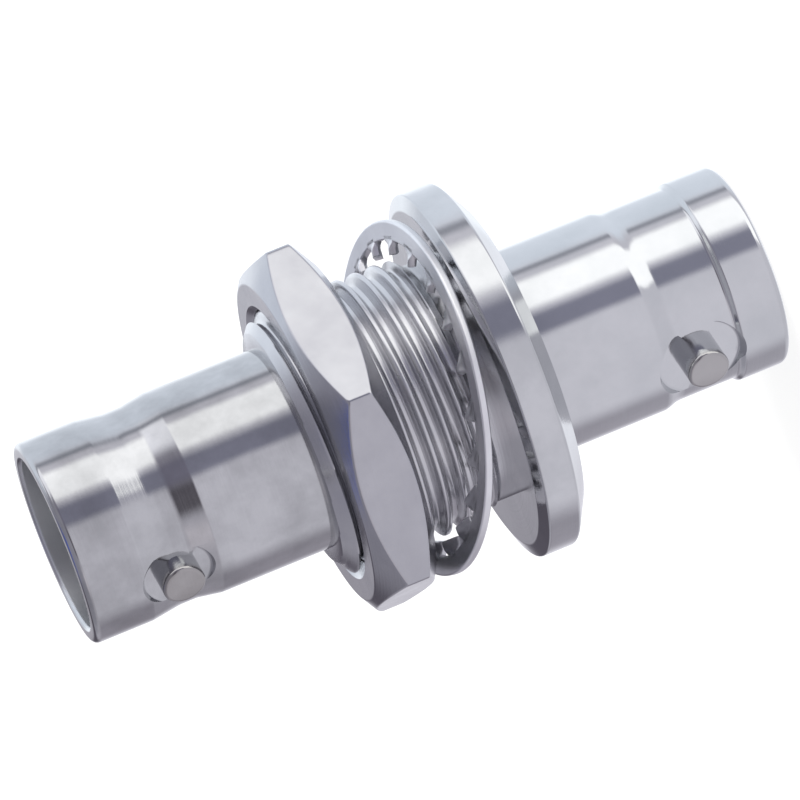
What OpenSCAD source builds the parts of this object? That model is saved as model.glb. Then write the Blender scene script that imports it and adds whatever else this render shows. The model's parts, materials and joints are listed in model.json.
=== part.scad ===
// Bulkhead coaxial adapter with a bayonet jack at each end.
// The axis is Z. The lower mouth stands on z = 0 and the upper mouth faces +Z,
// with the bayonet lugs along +X and -X. All lengths are in millimetres.

/* [Barrels] */
// Wall of both barrels around the mouth bore
barrel_wall = 0.775; // [0.7:0.025:0.85]
// Upper barrel, from its mouth to the end of the thread
upper_barrel_len = 11.65; // [11.2:0.05:14]
// Lower barrel, from its mouth to the back of the flange
lower_barrel_len = 11.6; // [11.2:0.05:14]
// Bore of each mouth, which takes the sleeve of the plug
mouth_bore_d = 8.1; // [8:0.05:8.2]
// Depth of each mouth bore, down to its shoulder
mouth_bore_depth = 8.9; // [8.6:0.1:9.4]
// Rounding of the outer edge of the upper mouth
upper_mouth_round = 0.3; // [0.1:0.05:0.5]
// Rounding of the outer edge of the lower mouth
lower_mouth_round = 0.5; // [0.1:0.05:0.55]
// Lead-in chamfer of each mouth bore
mouth_chamfer = 0.15; // [0.1:0.05:0.2]

/* [Bayonet] */
// Plain collar between the upper mouth and its neck
upper_collar_len = 2.85; // [2.2:0.05:2.9]
// Plain collar between the lower mouth and its neck
lower_collar_len = 2.25; // [2.2:0.05:2.9]
// Depth of both necks below the barrels
neck_depth = 0.2; // [0.15:0.005:0.35]
// Slope from the upper collar down to its neck, along the axis
upper_neck_front = 1.4; // [0.2:0.05:1.8]
// Floor of the upper neck
upper_neck_floor = 0.85; // [0.6:0.05:2.6]
// Slope from the upper neck up to the barrel
upper_neck_back = 1.15; // [0.4:0.05:1.5]
// Slope from the lower collar down to its neck
lower_neck_front = 0.2; // [0.1:0.05:1.5]
// Floor of the lower neck
lower_neck_floor = 2.95; // [1:0.05:3.1]
// Slope from the lower neck up to the barrel
lower_neck_back = 0.6; // [0.4:0.05:1.5]
// Diameter of each bayonet lug
lug_d = 2; // [1.9:0.02:2.1]
// How far each lug stands out of the barrel
lug_height = 0.675; // [0.6:0.025:0.75]
// Distance from the mouth to the centre of the lugs
lug_setback = 4.3; // [4.1:0.05:4.6]
// Diameter of the round spot face milled around each upper lug
upper_spot_d = 3.2; // [3:0.1:4]
// Diameter of the round spot face milled around each lower lug
lower_spot_d = 4; // [3:0.1:4.2]
// Wall left between the upper spot faces and the mouth bore
upper_spot_web = 0.5; // [0.2:0.01:0.55]
// Wall left between the lower spot faces and the mouth bore
lower_spot_web = 0.25; // [0.2:0.01:0.55]
// Width of the sloped wall around each spot face
spot_face_wall = 0.15; // [0.05:0.05:0.3]
// Bevel around the end of each lug
lug_bevel = 0.15; // [0.05:0.05:0.3]

/* [Thread] */
// Major diameter of the panel thread
thread_d = 12.6; // [12.5:0.05:12.7]
// Distance from one ridge of the thread to the next
thread_pitch = 0.907; // [0.7:0.001:1]
// Depth of the thread and of the relief groove below it
thread_depth = 0.54; // [0.3:0.01:0.6]
// Length of the thread, from its end to the face of the flange
thread_len = 8.5; // [7.6:0.1:12]
// Axial length of the chamfer at the end of the thread
thread_chamfer_len = 0.55; // [0.3:0.05:0.8]
// Radial depth of the chamfer at the end of the thread
thread_chamfer_depth = 0.75; // [0.4:0.05:0.9]
// Width of the relief groove next to the flange
relief_w = 0.8; // [0.4:0.1:1.2]

/* [Flange] */
// How far the flange stands out past the flats of the nut
flange_margin = 0.75; // [0.3:0.05:2]
// Length of the plain rim
flange_rim = 1.5; // [1:0.05:3]
// Radial width of the shallow bevel on the panel side
face_bevel_w = 0.7; // [0.3:0.1:1.5]
// Height of that bevel
face_bevel_h = 0.25; // [0.1:0.05:0.5]
// Radial width of the bevel on the back
back_bevel_w = 1.35; // [0.5:0.05:2]
// Height of the back bevel
back_bevel_h = 0.8; // [0.3:0.05:1.2]

/* [Insulators] */
// Bore through the body that holds the insulators
insulator_bore_d = 7; // [6.6:0.1:7.4]
// Width of the land between the two insulators
land_w = 1; // [0.6:0.1:2]
// Bore of that land
land_d = 6; // [5:0.1:6.4]
// Diameter of the nose that stands in each mouth
nose_d = 4.75; // [4.6:0.05:4.9]
// Distance from the mouth to the front of the nose
nose_setback = 4.25; // [4.1:0.05:4.6]
// Chamfer around the front of the nose
nose_chamfer = 0.2; // [0.05:0.05:0.4]

/* [Centre contact] */
// Outside diameter of the contact
contact_d = 2.1; // [1.9:0.05:2.3]
// Bore of each socket
socket_d = 1.4; // [1.3:0.02:1.5]
// Depth of each socket
socket_depth = 5; // [4.5:0.1:6]
// Distance from the front of the nose to the tip of the contact
contact_setback = 0.25; // [0.1:0.05:0.5]
// Slots in each socket, as whole cuts across it
slot_cuts = 2; // [1, 2]
// Width of each slot
slot_w = 0.2; // [0.15:0.01:0.25]
// Length of each slot
slot_len = 4.2; // [3.5:0.1:4.4]
// Diameter of the collar held between the insulators
contact_collar_d = 3.2; // [2.8:0.1:4]

/* [Nut] */
// Width of the hexagon across its flats
nut_af = 16.2; // [15.8:0.1:17.5]
// Thickness of the nut
nut_h = 3.05; // [2.5:0.05:3.6]
// Diameter of the flat ring on each face of the nut
nut_face_d = 15.4; // [14.2:0.1:15.8]
// Angle of the corner bevels, from the face
nut_bevel_angle = 31; // [20:1:35]
// Lead-in chamfer at each end of the threaded hole
nut_hole_chamfer = 0.3; // [0.1:0.05:0.4]
// Thread that stands out above the nut
thread_show = 0.65; // [0.6:0.05:1.2]
// Direction of one corner of the nut, from +X
nut_angle = 50.7; // [0:0.1:60]

/* [Lock washer] */
// How far the washer stands out past the flats of the nut
washer_margin = 0.1; // [-0.2:0.05:0.4]
// Thickness of the sheet
washer_t = 0.4; // [0.3:0.05:0.6]
// Radial width of the unbroken band
washer_band = 0.9; // [0.6:0.05:1]
// Number of inner teeth
tooth_count = 20; // [12:1:22]
// Width of each tooth
tooth_w = 1.1; // [0.8:0.05:1.2]
// Twist of each tooth about its own length
tooth_twist = 25; // [5:1:30]
// Direction in which the leaning washer is lowest, from +X
lean_angle = 87.9; // [0:0.1:360]

/* [Clearances] */
// Radial clearance of the insulators and the contact in their holes
press_clear = 0.02; // [0.01:0.005:0.04]
// Radial clearance between the nut and the thread
thread_clear = 0.04; // [0.02:0.01:0.08]
// Radial gap between the thread and the washer's teeth
tooth_clear = 0.4; // [0.35:0.05:0.6]
// Gap left between the leaning washer and the nut or the flange
washer_play = 0.08; // [0.05:0.01:0.2]

/* [Hidden] */
$fn = 96;
EPS = 0.01;
ROUND_STEPS = 6;
METAL = "#b4b3b8";
WASHER_METAL = "#a3a4a8";
PTFE = "#f1f0ea";
GOLD = "#d9b45b";
FLANK_ANGLE = 30;

barrel_r = mouth_bore_d / 2 + barrel_wall;
neck_r = barrel_r - neck_depth;
upper_neck = [upper_neck_front, upper_neck_floor, upper_neck_back];
lower_neck = [lower_neck_front, lower_neck_floor, lower_neck_back];
lug_tip_r = barrel_r + lug_height;
thread_r = thread_d / 2;
root_r = thread_r - thread_depth;
flank_len = thread_depth * tan(FLANK_ANGLE);
crest_len = thread_pitch / 8;
flange_r = nut_af / 2 + flange_margin;

// Heights along the axis, from the lower mouth up
flange_back_z = lower_barrel_len;
rim_low_z = flange_back_z + back_bevel_h;
rim_high_z = rim_low_z + flange_rim;
flange_face_z = rim_high_z + face_bevel_h;
thread_end_z = flange_face_z + thread_len;
total_len = thread_end_z + upper_barrel_len;
mid_z = total_len / 2;

nut_top_z = thread_end_z - thread_show;
nut_low_z = nut_top_z - nut_h;

// The washer leans until it all but touches the flange below and the nut above
washer_gap = nut_low_z - flange_face_z;
washer_r = nut_af / 2 + washer_margin;
washer_lean = asin((washer_gap - 2 * washer_play - washer_t) / (2 * washer_r));
tooth_tip_r = thread_r + tooth_clear;
band_inner_r = washer_r - washer_band;

contact_tip = nose_setback + contact_setback;
land_low_z = mid_z - land_w / 2;
land_high_z = mid_z + land_w / 2;

// Turns its children, drawn at the lower mouth, over to the upper mouth
module at_upper_mouth() {
    translate([0, 0, total_len]) mirror([0, 0, 1]) children();
}

module each_end() {
    children();
    at_upper_mouth() children();
}

// Outline of one barrel as [radius, height] points, from its mouth to its root.
// neck holds the lengths of the neck's front slope, floor and back slope.
function barrel_outline(mouth_round, collar_len, neck, root) = [
    for (i = [0 : ROUND_STEPS])
        let (a = 90 * i / ROUND_STEPS)
        [barrel_r - mouth_round * (1 - sin(a)), mouth_round * (1 - cos(a))],
    [barrel_r, collar_len],
    [neck_r, collar_len + neck[0]],
    [neck_r, collar_len + neck[0] + neck[1]],
    [barrel_r, collar_len + neck[0] + neck[1] + neck[2]],
    [barrel_r, root],
];

function turned_over(points) =
    [for (i = [len(points) - 1 : -1 : 0]) [points[i].x, total_len - points[i].y]];

// The flange between the two barrels
function flange_outline() = [
    [flange_r - back_bevel_w, flange_back_z],
    [flange_r, rim_low_z],
    [flange_r, rim_high_z],
    [flange_r - face_bevel_w, flange_face_z],
    [barrel_r, flange_face_z],
];

module turned_blank() {
    rotate_extrude()
        polygon(concat(
            [[0, 0]],
            barrel_outline(lower_mouth_round, lower_collar_len, lower_neck, flange_back_z),
            flange_outline(),
            turned_over(barrel_outline(upper_mouth_round, upper_collar_len, upper_neck, upper_barrel_len)),
            [[0, total_len]]));
}

// The thread as level ridges at its pitch, cut off by the chamfer at its end
module panel_thread() {
    ridge_low_z = flange_face_z + relief_w;
    ridge_count = ceil((thread_end_z - ridge_low_z) / thread_pitch);
    rotate_extrude()
        intersection() {
            polygon([
                [0, flange_face_z - EPS],
                [root_r, flange_face_z - EPS],
                for (i = [0 : ridge_count - 1])
                    let (low_z = ridge_low_z + i * thread_pitch)
                    each [
                        [root_r, low_z],
                        [thread_r, low_z + flank_len],
                        [thread_r, low_z + flank_len + crest_len],
                        [root_r, low_z + 2 * flank_len + crest_len],
                    ],
                [root_r, ridge_low_z + ridge_count * thread_pitch],
                [0, ridge_low_z + ridge_count * thread_pitch],
            ]);
            polygon([
                [0, flange_face_z - EPS],
                [thread_r + EPS, flange_face_z - EPS],
                [thread_r + EPS, thread_end_z - thread_chamfer_len],
                [thread_r - thread_chamfer_depth, thread_end_z],
                [0, thread_end_z],
            ]);
        }
}

// Everything bored out of the body from one mouth
module mouth_bore() {
    rotate_extrude()
        polygon([
            [0, -EPS],
            [mouth_bore_d / 2 + mouth_chamfer + EPS, -EPS],
            [mouth_bore_d / 2, mouth_chamfer],
            [mouth_bore_d / 2, mouth_bore_depth],
            [insulator_bore_d / 2, mouth_bore_depth],
            [insulator_bore_d / 2, land_low_z],
            [0, land_low_z],
        ]);
}

// The round pockets that leave the lugs of one mouth standing in their middles
module spot_faces(floor_d, web) {
    floor_h = mouth_bore_d / 2 + web;
    for (side = [0, 180]) rotate([0, 0, side])
        translate([floor_h, 0, lug_setback]) rotate([0, 90, 0])
            cylinder(d1 = floor_d, d2 = floor_d + 4 * spot_face_wall, h = 2 * (barrel_r - floor_h));
}

// A lug ends on the turned surface that it was milled from
module lug() {
    root = mouth_bore_d / 2 + EPS;
    intersection() {
        translate([root, 0, lug_setback]) rotate([0, 90, 0])
            rotate_extrude()
                polygon([
                    [0, 0],
                    [lug_d / 2, 0],
                    [lug_d / 2, lug_tip_r - root - lug_bevel],
                    [lug_d / 2 - lug_bevel, lug_tip_r - root],
                    [0, lug_tip_r - root],
                ]);
        translate([0, 0, lug_setback - lug_d]) cylinder(r = lug_tip_r, h = 2 * lug_d);
    }
}

module connector_body() {
    color(METAL)
    difference() {
        union() {
            panel_thread();
            difference() {
                turned_blank();
                spot_faces(lower_spot_d, lower_spot_web);
                at_upper_mouth() spot_faces(upper_spot_d, upper_spot_web);
            }
            each_end() for (side = [0, 180]) rotate([0, 0, side]) lug();
        }
        each_end() mouth_bore();
        translate([0, 0, land_low_z - EPS]) cylinder(d = land_d, h = land_w + 2 * EPS);
    }
}

// One insulator, drawn at the lower mouth: the nose, then the body up to the land
module insulator() {
    body_r = insulator_bore_d / 2 - press_clear;
    hole_r = contact_d / 2 + press_clear;
    color(PTFE)
    rotate_extrude()
        polygon([
            [hole_r, nose_setback],
            [nose_d / 2 - nose_chamfer, nose_setback],
            [nose_d / 2, nose_setback + nose_chamfer],
            [nose_d / 2, mouth_bore_depth],
            [body_r, mouth_bore_depth],
            [body_r, land_low_z],
            [hole_r, land_low_z],
        ]);
}

module lower_insulator() insulator();

module upper_insulator() at_upper_mouth() insulator();

// The bore and the slots of one socket, drawn at the lower mouth
module socket_cut() {
    translate([0, 0, contact_tip - EPS]) cylinder(d = socket_d, h = socket_depth + EPS);
    translate([0, 0, contact_tip - EPS])
        cylinder(d1 = (socket_d + contact_d) / 2, d2 = socket_d, h = (contact_d - socket_d) / 4);
    for (i = [0 : slot_cuts - 1]) rotate([0, 0, 45 + 180 * i / slot_cuts])
        translate([-contact_d, -slot_w / 2, contact_tip - EPS]) cube([2 * contact_d, slot_w, slot_len + EPS]);
}

module centre_contact() {
    color(GOLD)
    difference() {
        union() {
            translate([0, 0, contact_tip]) cylinder(d = contact_d, h = total_len - 2 * contact_tip);
            translate([0, 0, land_low_z]) cylinder(d = contact_collar_d, h = land_w);
        }
        each_end() socket_cut();
    }
}

module hex_nut() {
    hole_r = thread_r + thread_clear;
    face_r = nut_face_d / 2;
    corner_r = nut_af / 2 / cos(30);
    cone_h = (corner_r - face_r) * tan(nut_bevel_angle);
    color(METAL)
    translate([0, 0, nut_low_z]) rotate([0, 0, nut_angle])
    difference() {
        intersection() {
            cylinder(r = corner_r, h = nut_h, $fn = 6);
            rotate_extrude()
                polygon([
                    [0, 0],
                    [face_r, 0],
                    [corner_r + EPS, cone_h],
                    [corner_r + EPS, nut_h - cone_h],
                    [face_r, nut_h],
                    [0, nut_h],
                ]);
        }
        rotate_extrude()
            polygon([
                [0, -EPS],
                [hole_r + nut_hole_chamfer + EPS, -EPS],
                [hole_r, nut_hole_chamfer],
                [hole_r, nut_h - nut_hole_chamfer],
                [hole_r + nut_hole_chamfer + EPS, nut_h + EPS],
                [0, nut_h + EPS],
            ]);
    }
}

// A flat ring with twisted teeth inside, lying in the XY plane about its own centre
module toothed_ring() {
    root_overlap = washer_t / 3;
    tooth_len = band_inner_r + root_overlap - tooth_tip_r;
    difference() {
        cylinder(r = washer_r, h = washer_t, center = true);
        cylinder(r = band_inner_r, h = 2 * washer_t, center = true);
    }
    for (i = [0 : tooth_count - 1]) rotate([0, 0, 360 * i / tooth_count])
        translate([tooth_tip_r + tooth_len / 2, 0, 0]) rotate([-tooth_twist, 0, 0])
            cube([tooth_len, tooth_w, washer_t], center = true);
}

module lock_washer() {
    color(WASHER_METAL)
    translate([0, 0, flange_face_z + washer_gap / 2])
        rotate([0, 0, lean_angle]) rotate([0, washer_lean, 0])
            toothed_ring();
}

connector_body();
upper_insulator();
lower_insulator();
centre_contact();
lock_washer();
hex_nut();
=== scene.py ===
# %% [markdown]
# # A bulkhead coaxial adapter
# The object is a turned and nickel-plated brass tube with a bayonet jack at each end,
# a flange, a panel thread, a hexagon nut and a toothed lock washer that leans between
# them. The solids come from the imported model, and this lesson dresses them: each
# visible part is worked out again as a fine surface with rounded edges, and each
# finish is built from nodes.

# %% Load the frame
import json
import math

import bmesh
import bpy
import numpy as np
from mathutils import Matrix, Vector

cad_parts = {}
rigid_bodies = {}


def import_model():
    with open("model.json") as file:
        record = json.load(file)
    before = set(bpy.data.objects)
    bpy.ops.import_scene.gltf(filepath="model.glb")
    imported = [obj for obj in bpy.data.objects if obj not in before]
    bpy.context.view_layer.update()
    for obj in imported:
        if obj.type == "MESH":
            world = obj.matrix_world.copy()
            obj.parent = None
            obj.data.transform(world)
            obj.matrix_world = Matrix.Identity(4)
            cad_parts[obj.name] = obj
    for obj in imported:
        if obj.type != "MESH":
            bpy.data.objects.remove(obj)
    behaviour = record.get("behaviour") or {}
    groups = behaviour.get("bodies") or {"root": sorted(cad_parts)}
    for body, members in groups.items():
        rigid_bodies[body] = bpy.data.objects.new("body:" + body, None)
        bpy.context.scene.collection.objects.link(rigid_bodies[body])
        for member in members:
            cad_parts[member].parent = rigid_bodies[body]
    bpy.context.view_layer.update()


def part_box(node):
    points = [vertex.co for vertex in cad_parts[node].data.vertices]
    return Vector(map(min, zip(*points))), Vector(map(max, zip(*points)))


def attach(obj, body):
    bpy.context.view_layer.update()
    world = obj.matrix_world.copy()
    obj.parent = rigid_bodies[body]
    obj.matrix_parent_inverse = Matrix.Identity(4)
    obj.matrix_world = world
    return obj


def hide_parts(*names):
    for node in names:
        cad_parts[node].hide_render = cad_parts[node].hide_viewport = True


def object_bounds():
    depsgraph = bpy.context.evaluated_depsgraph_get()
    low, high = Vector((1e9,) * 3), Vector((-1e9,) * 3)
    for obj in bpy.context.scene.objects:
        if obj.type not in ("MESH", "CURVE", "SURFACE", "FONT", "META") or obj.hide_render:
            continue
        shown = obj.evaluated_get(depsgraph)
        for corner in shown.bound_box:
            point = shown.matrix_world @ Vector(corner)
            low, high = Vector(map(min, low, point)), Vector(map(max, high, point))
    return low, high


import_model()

MM = 0.001  # a millimetre in metres
TURN = 2 * np.pi

# %% [markdown]
# ## Sizes
# Positions come from the CAD nodes themselves: the box of the body gives the length of
# the tube and the radius of its flange, and the box of the nut gives its place. What a
# box can't tell, such as the depth of the neck, is repeated here from the part's own
# source. Everything is in millimetres until a mesh is made.

# %% Read the main sizes from the nodes
def node_box(node):
    """Lowest and highest corner of a CAD node, in millimetres."""
    low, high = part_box(node)
    return np.array(low) / MM, np.array(high) / MM


body_low, body_high = node_box("connector_body")
nut_low, nut_high = node_box("hex_nut")
FLANGE_R, TOTAL = body_high[1:]
NUT_Z, NUT_TOP = nut_low[2], nut_high[2]
MIDDLE = TOTAL / 2
print("length %.2f, flange radius %.2f" % (TOTAL, FLANGE_R))
print("nut from %.2f to %.2f, tube from %.2f" % (NUT_Z, NUT_TOP, body_low[2]))

# %% Sizes that a box doesn't show
BARREL_R, NECK_R = 4.825, 4.625
BORE_R, BORE_DEPTH, MOUTH_CHAMFER = 4.05, 8.9, 0.15
UPPER_NECK = (2.85, 1.4, 0.85, 1.15)  # collar, front slope, floor and back slope
LOWER_NECK = (2.25, 0.2, 2.95, 0.6)
FLANGE_BACK, RIM_LOW, RIM_HIGH, FLANGE_FACE = 11.6, 12.4, 13.9, 14.15  # heights
BACK_BEVEL, FACE_BEVEL = 1.35, 0.7
THREAD_R, THREAD_ROOT, THREAD_END, PITCH = 6.3, 5.76, 22.65, 25.4 / 28
RELIEF_W, CHAMFER_LEN, CHAMFER_DEPTH = 0.8, 0.55, 0.75
HOUSING_R, LAND_R, LAND = 3.5, 3.0, 1.0  # hole for the insulators and the ridge that stops them
LUG_R, LUG_TIP, LUG_SETBACK = 1.0, 5.5, 4.3
UPPER_SPOT, LOWER_SPOT = (1.6, 4.55), (2.0, 4.3)  # radius and floor of the spot faces
print("thread pitch %.3f mm, 28 turns to the inch" % PITCH)

# %% [markdown]
# ## Surfaces on a grid
# Everything here was cut on a lathe, so a closed outline carried round the axis makes
# most of it. The outline is written as its sharp corners with a radius for each, and
# one function rounds them. That beats a bevel modifier here, because each edge of a
# turned part has its own radius, and because a short straight step is left beside each
# arc, which keeps the long cylinders free of shading from the arcs.

# %% Round the corners of an outline
HOLD = 0.03  # length of the straight step beside an arc
ARC_SHARE, HOLD_SHARE = 0.45, 0.48  # how much of a side an arc may take, without and with its step


def rounded(corners, radii, step=15.0):
    """Closed outline with arcs. At each corner the arc has the given radius and touches both
    sides, its tangent length is radius * tan(turn / 2), and a point on each side keeps it flat."""
    corners, out = np.asarray(corners, float), []
    sides = zip(np.roll(corners, 1, 0), corners, np.roll(corners, -1, 0), radii)
    for before, corner, after, radius in sides:
        back, ahead = before - corner, after - corner
        len_back, len_ahead = np.linalg.norm(back), np.linalg.norm(ahead)
        back, ahead = back / len_back, ahead / len_ahead
        turn = np.pi - math.acos(float(np.clip(back @ ahead, -1, 1)))
        reach = min(radius * math.tan(turn / 2), ARC_SHARE * min(len_back, len_ahead))
        radius = reach / math.tan(turn / 2)
        between = (back + ahead) / np.linalg.norm(back + ahead)
        centre = corner + between * radius / math.cos(turn / 2)
        first, last = corner + back * reach, corner + ahead * reach
        share = np.linspace(0, 1, max(2, int(round(math.degrees(turn) / step))) + 1)[:, None]
        a, b = (first - centre) / radius, (last - centre) / radius
        sweep = (np.sin((1 - share) * turn) * a + np.sin(share * turn) * b) / math.sin(turn)
        if reach + HOLD < HOLD_SHARE * len_back:
            out.append(first[None] + back * HOLD)
        out.append(centre + radius * sweep)
        if reach + HOLD < HOLD_SHARE * len_ahead:
            out.append(last[None] + ahead * HOLD)
    return np.concatenate(out)


square = rounded([[0, 0], [1, 0], [1, 1], [0, 1]], [0.1] * 4)
print("a square with rounded corners has", len(square), "points")

# %% Make a closed solid from a grid of points
def solid(name, grids, sharp=32.0, merge=1e-4):
    """One object from grids of points[row, column] in mm. Rows go once round a closed outline,
    so the last row joins the first, and the last column repeats the first. Points that fall
    together are merged, and edges that bend more than 'sharp' degrees stay sharp."""
    verts, quads, start = [], [], 0
    for grid in grids:
        rows, columns = grid.shape[:2]
        index = start + np.arange(rows * columns).reshape(rows, columns)
        index = np.vstack([index, index[:1]])
        around_face = [index[:-1, :-1], index[:-1, 1:], index[1:, 1:], index[1:, :-1]]
        quads.append(np.stack(around_face, -1).reshape(-1, 4))
        verts.append(grid.reshape(-1, 3))
        start += rows * columns
    mesh = bpy.data.meshes.new(name)
    mesh.from_pydata(np.concatenate(verts).tolist(), [], np.concatenate(quads).tolist())
    work = bmesh.new()
    work.from_mesh(mesh)
    bmesh.ops.remove_doubles(work, verts=work.verts, dist=merge)
    work.to_mesh(mesh)
    work.free()
    mesh.transform(Matrix.Scale(MM, 4))
    mesh.shade_smooth()
    mesh.set_sharp_from_angle(angle=math.radians(sharp))
    obj = bpy.data.objects.new(name, mesh)
    bpy.context.scene.collection.objects.link(obj)
    return obj


def columns_round(columns):
    """Angles of the columns, once round, with the first repeated as the last."""
    return np.linspace(0, TURN, columns + 1)


def polar(r, t, z):
    """Points (r cos t, r sin t, z) as one grid."""
    return np.stack([r * np.cos(t), r * np.sin(t), z + 0 * r * t], -1)


def around(outline, columns=192):
    """Grid from an outline of (radius, height) points carried once round Z."""
    return polar(outline[:, :1], columns_round(columns), outline[:, 1:])


print("that outline carried round is a grid of", around(square).shape[:2], "points")

# %% [markdown]
# ## The turned body
# The tube, its two mouths and its flange are one turned piece. The outline runs up the
# outside and down the bore, so that the faces point outwards. The thread isn't part of
# this outline, because its surface climbs as it goes round, and it is made next, as a
# sleeve over a plain core.

# %% Outline of one barrel, from its mouth to its root
CORE_R, CORE_END = 5.2, THREAD_END - 0.3  # the plain core inside the threaded sleeve


def barrel_corners(mouth, neck, soft, root):
    """Corners, as ((radius, height), rounding), of the outside of a barrel with its mouth on
    z = 0. mouth rounds its outer edge, neck holds the lengths of the collar and along the neck,
    and soft the four roundings of the neck's corners."""
    turns = zip((BARREL_R, NECK_R, NECK_R, BARREL_R), np.cumsum(neck).tolist(), soft)
    return [((BORE_R + MOUTH_CHAMFER, 0), 0.05), ((BARREL_R, 0), mouth)] + [
        ((r, z), q) for r, z, q in turns] + [((BARREL_R, root), 0.1)]


def turned_over(outline):
    """The same outline with its heights taken from the other end of the tube, z -> total - z."""
    return [((r, TOTAL - z), q) for (r, z), q in reversed(outline)]


lower = barrel_corners(0.5, LOWER_NECK, (0.1, 0.2, 1.2, 0.8), FLANGE_BACK)
upper = turned_over(barrel_corners(0.3, UPPER_NECK, (0.5, 2.0, 1.0, 0.5), TOTAL - CORE_END))
print("corners of the lower barrel:", [corner for corner, _ in lower])

# %% Outline of the flange and the bore, and the whole body
flange = [
    ((FLANGE_R - BACK_BEVEL, FLANGE_BACK), 0.12), ((FLANGE_R, RIM_LOW), 0.15),
    ((FLANGE_R, RIM_HIGH), 0.1), ((FLANGE_R - FACE_BEVEL, FLANGE_FACE), 0.2),
    ((CORE_R, FLANGE_FACE), 0.02), ((CORE_R, CORE_END), 0.02)]
bore_half = [
    ((BORE_R, MOUTH_CHAMFER), 0.05), ((BORE_R, BORE_DEPTH), 0.08),
    ((HOUSING_R, BORE_DEPTH), 0.05), ((HOUSING_R, MIDDLE - LAND / 2), 0.03),
    ((LAND_R, MIDDLE - LAND / 2), 0.03)]
bore = turned_over(bore_half[::-1]) + bore_half[::-1]
corners, radii = zip(*(lower + flange + upper + bore))
body_outline = rounded(corners, radii)
jack_body = solid("jack_body", [around(body_outline, 256)])
print("jack_body:", len(body_outline), "outline points,", len(jack_body.data.polygons), "faces")

# %% [markdown]
# ## Lugs and spot faces
# After turning, a hollow cutter comes in from each side and leaves a lug standing in a
# shallow round spot face. Here a cutter shape is taken away with a boolean, and the
# lugs are added with another, because these edges cross the turned surface at odd
# angles. The end of each lug stays on the turned surface that it was milled from.

# %% Shapes turned about the cross axis
LUG_FOOT = 4.16  # radius, inside the wall, at which a lug starts
CROWN_DEPTH = 0.6  # how far below its end a lug's points still follow the turned surface


def cross_turned(outline, side, height, columns=96, crown=0.0):
    """Grid from (distance along X, radius) points carried round the X axis at that height. With
    a crown, distance is measured from a cylinder of that radius about Z, x = d + sqrt(crown^2
    - y^2), down to the crown's depth."""
    t = columns_round(columns)
    d, r = outline[:, :1], outline[:, 1:]
    y, z = r * np.cos(t), r * np.sin(t)
    x = d + 0 * t
    if crown:
        x = np.where(d > -CROWN_DEPTH, d + np.sqrt(crown ** 2 - y ** 2), crown + d)
    return np.stack([side * x, side * y, height + z], -1)


def pocket(radius, floor, slope=0.15):
    """Outline of a spot face's cutter, whose wall slopes out by 'slope' to the turned surface."""
    top = 2 * BARREL_R - floor
    corners = [(floor, 0), (floor, radius), (top, radius + 2 * slope), (top, 0)]
    return rounded(corners, [0.001, 0.12, 0.01, 0.001])


lug_tall = LUG_TIP - LUG_FOOT
lug_corners = [(-lug_tall, 0), (-lug_tall, LUG_R), (0, LUG_R), (0, 0)]
lug_outline = rounded(lug_corners, [0.001, 0.01, 0.14, 0.001])
heights = (LUG_SETBACK, TOTAL - LUG_SETBACK)
places = [(side, height) for side in (1, -1) for height in heights]
cutters = solid("cutters", [
    cross_turned(pocket(*(LOWER_SPOT if place[1] < MIDDLE else UPPER_SPOT)), *place)
    for place in places])
lugs = solid("lugs", [cross_turned(lug_outline, *place, crown=LUG_TIP) for place in places])
print("spot faces:", len(cutters.data.polygons), "faces, lugs:", len(lugs.data.polygons), "faces")

# %% Cut and join
def outward(obj):
    """Recalculates the normals of a closed mesh so that they all point out."""
    work = bmesh.new()
    work.from_mesh(obj.data)
    bmesh.ops.recalc_face_normals(work, faces=work.faces)
    work.to_mesh(obj.data)
    work.free()


def carve(obj, tool, operation):
    """Applies one boolean with an exact solver and removes the tool."""
    outward(tool)
    change = obj.modifiers.new(operation, "BOOLEAN")
    change.operation, change.solver, change.object = operation, "EXACT", tool
    evaluated = obj.evaluated_get(bpy.context.evaluated_depsgraph_get())
    done = bpy.data.meshes.new_from_object(evaluated)
    obj.modifiers.clear()
    obj.data = done
    bpy.data.objects.remove(tool)


carve(jack_body, cutters, "DIFFERENCE")
carve(jack_body, lugs, "UNION")
jack_body.data.shade_smooth()
jack_body.data.set_sharp_from_angle(angle=math.radians(28))
print("jack_body after milling:", len(jack_body.data.polygons), "faces")

# %% [markdown]
# ## The screw thread
# A thread is one groove that climbs by its pitch in a turn. The grid follows it: each
# row starts at its own height and climbs by one pitch, so the crests and roots lie on
# rows and stay crisp with few faces. Rows that would pass an end are held at the end,
# and their points merge there.

# %% Radius of the thread at any place
SOFTNESS = 0.13  # how strongly the crests and roots are rounded


def thread_radius(theta, z, crest=THREAD_R, root=THREAD_ROOT):
    """Outside radius of a right-handed 60-degree thread. The phase is z / pitch - theta / turn,
    the flanks rise by 1 / tan 30 per mm, and taking a sine off the rise rounds both its ends."""
    phase = (z / PITCH - theta / TURN) % 1.0
    away = np.abs(phase - 0.5) * PITCH
    flat = PITCH / 16
    share = np.clip((away - flat) / ((crest - root) * math.tan(math.radians(30))), 0, 1)
    return crest - (crest - root) * (share - SOFTNESS * np.sin(TURN * share))


def climbing(z_low, z_high, radius, t, rows_per_turn=18):
    """Grid whose rows climb one pitch per turn between two ends, with
    z = held(low + pitch * (row + theta / turn)) and its radius from a function of both."""
    turns = (z_high - z_low) / PITCH
    start = np.arange(-rows_per_turn, math.ceil(turns * rows_per_turn) + 2) / rows_per_turn
    z = np.clip(z_low + PITCH * (start[:, None] + t / TURN), z_low, z_high)
    return polar(radius(t + 0 * z, z), t, z)


print("thread from %.2f to %.2f" % (thread_radius(0, PITCH / 2), thread_radius(0, PITCH)))

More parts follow.
